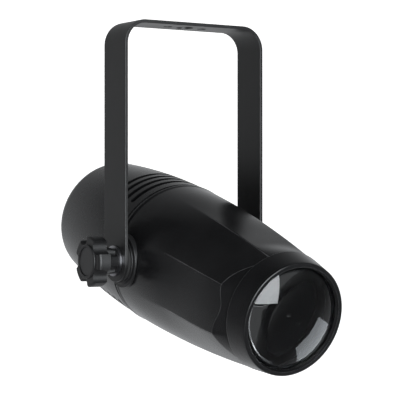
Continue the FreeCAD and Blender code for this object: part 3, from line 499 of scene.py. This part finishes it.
BLACK = (0.0105, 0.0105, 0.0115)
MATERIALS = {
    "yoke_steel": surface("yoke_steel", (0.0125, 0.0125, 0.013), 0.40, grain=3200, depth=0.012, mottle=0.10,
                          scuff_and_highlight=0.25, scuff_and_highlight_colour=(0.04, 0.04, 0.042), spread=0.04, edge=0.0003),
    "housing_plastic": surface("housing_plastic", BLACK, 0.27, grain=4200, depth=0.002, scuff_and_highlight=0.4,
                               spread=0.02),
    # the nose's light grey along its edges and creases is a painted highlight, not scuffing
    "nose_plastic": surface("nose_plastic", BLACK, 0.25, grain=4200, depth=0.002, scuff_and_highlight=0.9, spread=0.02,
                            scuff_and_highlight_colour=(0.16, 0.16, 0.165), crease=True),
    "knob_plastic": surface("knob_plastic", (0.014, 0.014, 0.015), 0.48, grain=3800, depth=0.010, scuff_and_highlight=0.5),
    "knob_cap": surface("knob_cap", (0.016, 0.016, 0.017), 0.36, grain=3800, depth=0.006, scuff_and_highlight=0.4),
    "boss_plastic": surface("boss_plastic", (0.012, 0.012, 0.013), 0.44, grain=3800, depth=0.010, scuff_and_highlight=0.5),
    "friction_rubber": surface("friction_rubber", (0.012, 0.012, 0.012), 0.78, grain=2200, depth=0.03,
                               scuff_and_highlight=0.1),
    "baffle_black": surface("baffle_black", (0.016, 0.016, 0.018), 0.55, grain=3000, depth=0.015),
    "ring_plastic": surface("ring_plastic", (0.014, 0.014, 0.016), 0.38, grain=3600, depth=0.008),
    "panel_plastic": surface("panel_plastic", (0.013, 0.013, 0.014), 0.52, grain=2600, depth=0.03),
    "inlet_plastic": surface("inlet_plastic", (0.015, 0.015, 0.016), 0.45, grain=3000, depth=0.012),
    "black_screw": surface("black_screw", (0.014, 0.014, 0.015), 0.48, grain=3000, depth=0.006,
                           metallic=0.1, scuff_and_highlight=0.7, scuff_and_highlight_colour=(0.16, 0.16, 0.17)),
    "screw_steel": surface("screw_steel", (0.42, 0.42, 0.44), 0.30, grain=2500, depth=0.004, metallic=1.0),
    "brass": surface("brass", (0.62, 0.43, 0.17), 0.28, grain=1800, depth=0.006, metallic=1.0,
                     stretch=(8, 1, 1)),
    "sink_aluminium": surface("sink_aluminium", (0.58, 0.58, 0.60), 0.38, grain=900, depth=0.01,
                              metallic=1.0, stretch=(1, 0.1, 1)),
    "board_white": surface("board_white", (0.78, 0.78, 0.74), 0.45, grain=1600, depth=0.006, mottle=0.04),
    "board_green": surface("board_green", (0.03, 0.18, 0.07), 0.40, grain=800, depth=0.03, mottle=0.35),
    "emitter": surface("emitter", (0.85, 0.66, 0.14), 0.35, grain=2500, depth=0.01, mottle=0.08),
    "pad_grey": surface("pad_grey", (0.35, 0.37, 0.40), 0.80, grain=1500, depth=0.02),
    "ferrite": surface("ferrite", (0.04, 0.04, 0.042), 0.60, grain=2200, depth=0.03),
    "winding": surface("winding", (0.66, 0.46, 0.07), 0.35, grain=700, depth=0.08, stretch=(1, 1, 9)),
    "can_black": surface("can_black", (0.03, 0.035, 0.07), 0.30, grain=1800, depth=0.01, stretch=(4, 1, 1)),
    "copper": surface("copper", (0.62, 0.27, 0.12), 0.32, grain=900, depth=0.08, metallic=0.9,
                      stretch=(1, 7, 1)),
    "film_yellow": surface("film_yellow", (0.70, 0.50, 0.06), 0.28, grain=1500, depth=0.01),
    "chip_black": surface("chip_black", (0.025, 0.025, 0.026), 0.55, grain=3200, depth=0.02),
    "terminal_green": surface("terminal_green", (0.05, 0.26, 0.13), 0.40, grain=2200, depth=0.01),
    "blade_metal": surface("blade_metal", (0.70, 0.70, 0.67), 0.22, grain=1800, depth=0.004, metallic=1.0,
                           stretch=(1, 6, 1)),
    "wire_brown": surface("wire_brown", (0.16, 0.06, 0.02), 0.40, grain=1800, depth=0.01),
    "wire_blue": surface("wire_blue", (0.02, 0.09, 0.36), 0.40, grain=1800, depth=0.01),
    "wire_earth": surface("wire_earth", (0.26, 0.40, 0.03), 0.40, grain=1800, depth=0.01),
    "wire_red": surface("wire_red", (0.42, 0.02, 0.02), 0.40, grain=1800, depth=0.01),
    "wire_black": surface("wire_black", (0.015, 0.015, 0.015), 0.40, grain=1800, depth=0.01),
    "lens_glass": glass("lens_glass", (0.96, 0.975, 0.98), 1.50),
    "inner_glass": glass("inner_glass", (0.93, 0.95, 0.96), 1.49),
    "optic_clear": glass("optic_clear", (0.95, 0.96, 0.96), 1.49, 0.05),
    "fuse_glass": glass("fuse_glass", (0.90, 0.93, 0.93), 1.47),
}

slots = {part["node"]: part["material_slot"] for part in frame["record"]["subparts"]}
for name, obj in frame["nodes"].items():
    obj.data.materials.clear()
    obj.data.materials.append(MATERIALS[slots[name]])

# ---------------------------------------------------------------- pieces
nose = new_piece("front_shell_moulding", front_shell_mesh, "lamp_head", MATERIALS["nose_plastic"],
                 ["front_shell"])
screw_floor_r = body_radius(SCREW_STATION) - SCREW_POCKET_DEPTH
holes = [(polar(screw_floor_r, a, SCREW_STATION), polar(BODY_R + 5, a, SCREW_STATION), SCREW_POCKET_R * MM)
         for a in SCREW_ANGLES]
holes.append((place(-60, 0, 0), place(60, 0, 0), STUD_BORE_R * MM))
bore(nose, holes)

# ---------------------------------------------------------------- studio
SOFTBOX_SIZE = (1.30, 1.45)
SOFTBOX_COLOUR = (0.93, 0.97, 1.0)
CARD_SIZE = (0.17, 0.18)
CARD_COLOUR = (0.88, 0.94, 1.0)
LENS = (0, -0.11, -0.17)       # the softbox and the window light face this point
LENS_LOW = (0.014, -0.109, -0.185)     # lower right part of the lens, which the card faces
FLOOR_HEIGHT = -0.42
SKY_BRIGHTEST = (0.50, 0.85, -0.10)    # heading of the brightest part of the surroundings


def area_light(name, location, target, size, power, colour, hidden_from):
    """Rectangular light that some kinds of ray don't see."""
    data = bpy.data.lights.new(name, "AREA")
    data.shape = "RECTANGLE"
    data.size, data.size_y = size
    data.energy = power
    data.color = colour
    obj = bpy.data.objects.new(name, data)
    bpy.context.scene.collection.objects.link(obj)
    obj.location = location
    obj.rotation_euler = (Vector(target) - Vector(location)).to_track_quat("-Z", "Y").to_euler()
    for ray in hidden_from:
        setattr(obj, "visible_" + ray, False)
    return obj


def emissive(name, strength):
    """Matt white that shines by itself."""
    material = bpy.data.materials.new(name)
    material.use_nodes = True
    shader = material.node_tree.nodes["Principled BSDF"]
    shader.inputs["Base Color"].default_value = (0.9, 0.9, 0.9, 1)
    shader.inputs["Roughness"].default_value = 0.9
    shader.inputs["Emission Color"].default_value = (1, 1, 1, 1)
    shader.inputs["Emission Strength"].default_value = strength
    return material


def floor():
    """Plain white floor well below the lamp, curving up into a backdrop behind it."""
    bm = bmesh.new()
    half, back, radius, height = 2.2, 1.6, 0.8, 1.6
    profile = [(-0.9, 0.0)] + [(back + radius * math.sin(a), radius * (1 - math.cos(a)))
                               for a in [math.radians(6 * i) for i in range(16)]]
    profile.append((back + radius, height))
    rows = [[bm.verts.new((x, y, z + FLOOR_HEIGHT)) for y, z in profile] for x in (-half, half)]
    for j in range(len(profile) - 1):
        bm.faces.new((rows[0][j], rows[1][j], rows[1][j + 1], rows[0][j + 1]))
    mesh = bpy.data.meshes.new("floor")
    bm.to_mesh(mesh)
    bm.free()
    obj = bpy.data.objects.new("floor", mesh)
    bpy.context.scene.collection.objects.link(obj)
    mesh.materials.append(emissive("floor_white", 0.9))
    obj.visible_glossy = False
    obj.visible_transmission = False


def surroundings():
    """White for the camera; for reflections a soft glow from behind the lamp, dimmer overhead."""
    world = bpy.data.worlds.new("studio")
    world.use_nodes = True
    tree = world.node_tree
    tree.nodes.clear()
    heading = tree.nodes.new("ShaderNodeTexCoord").outputs["Generated"]
    glow = tree.nodes.new("ShaderNodeVectorMath")
    glow.operation = "DOT_PRODUCT"
    tree.links.new(heading, glow.inputs[0])
    glow.inputs[1].default_value = Vector(SKY_BRIGHTEST).normalized()
    paths = tree.nodes.new("ShaderNodeLightPath")
    height = tree.nodes.new("ShaderNodeSeparateXYZ")
    tree.links.new(heading, height.inputs[0])
    level = remap(tree, glow.outputs["Value"], 0.10, 0.97, 0.10, 0.75)
    overhead = remap(tree, height.outputs["Z"], 0.25, 0.75, 1.0, 0.55)
    through_glass = remap(tree, paths.outputs["Is Transmission Ray"], 0.0, 1.0, 1.0, 0.5)
    level = math_node(tree, "MULTIPLY", level, overhead)
    level = math_node(tree, "MULTIPLY", level, through_glass)
    lit = node(tree, "ShaderNodeBackground", Color=(0.96, 0.98, 1.0, 1), Strength=level)
    seen = node(tree, "ShaderNodeBackground", Color=(1, 1, 1, 1), Strength=1.0)
    blend = tree.nodes.new("ShaderNodeMixShader")
    tree.links.new(paths.outputs["Is Camera Ray"], blend.inputs[0])
    tree.links.new(lit.outputs[0], blend.inputs[1])
    tree.links.new(seen.outputs[0], blend.inputs[2])
    out = tree.nodes.new("ShaderNodeOutputWorld")
    tree.links.new(blend.outputs[0], out.inputs["Surface"])
    return world


floor()
area_light("front_softbox", (-0.29, -1.62, 0.13), LENS, SOFTBOX_SIZE, 13, SOFTBOX_COLOUR,
           ("glossy", "transmission"))
area_light("lens_window", (-0.288, -1.61, 0.128), LENS, SOFTBOX_SIZE, 56, SOFTBOX_COLOUR,
           ("diffuse", "transmission"))
area_light("side_card", (0.294, -0.155, -0.37), LENS_LOW, CARD_SIZE, 0.24, CARD_COLOUR,
           ("camera", "diffuse", "transmission"))

scene = bpy.context.scene
scene.view_settings.view_transform = "Standard"
scene.world = surroundings()

# ---------------------------------------------------------------- camera
camera_data = bpy.data.cameras.new("camera")
camera_data.lens = 140.2
camera_data.sensor_width = 36.0
camera = bpy.data.objects.new("camera", camera_data)
scene.collection.objects.link(camera)
camera.location = (-0.5057, -0.7990, -0.1064)
camera.rotation_euler = (math.radians(90), 0, math.radians(-32.89))
scene.camera = camera
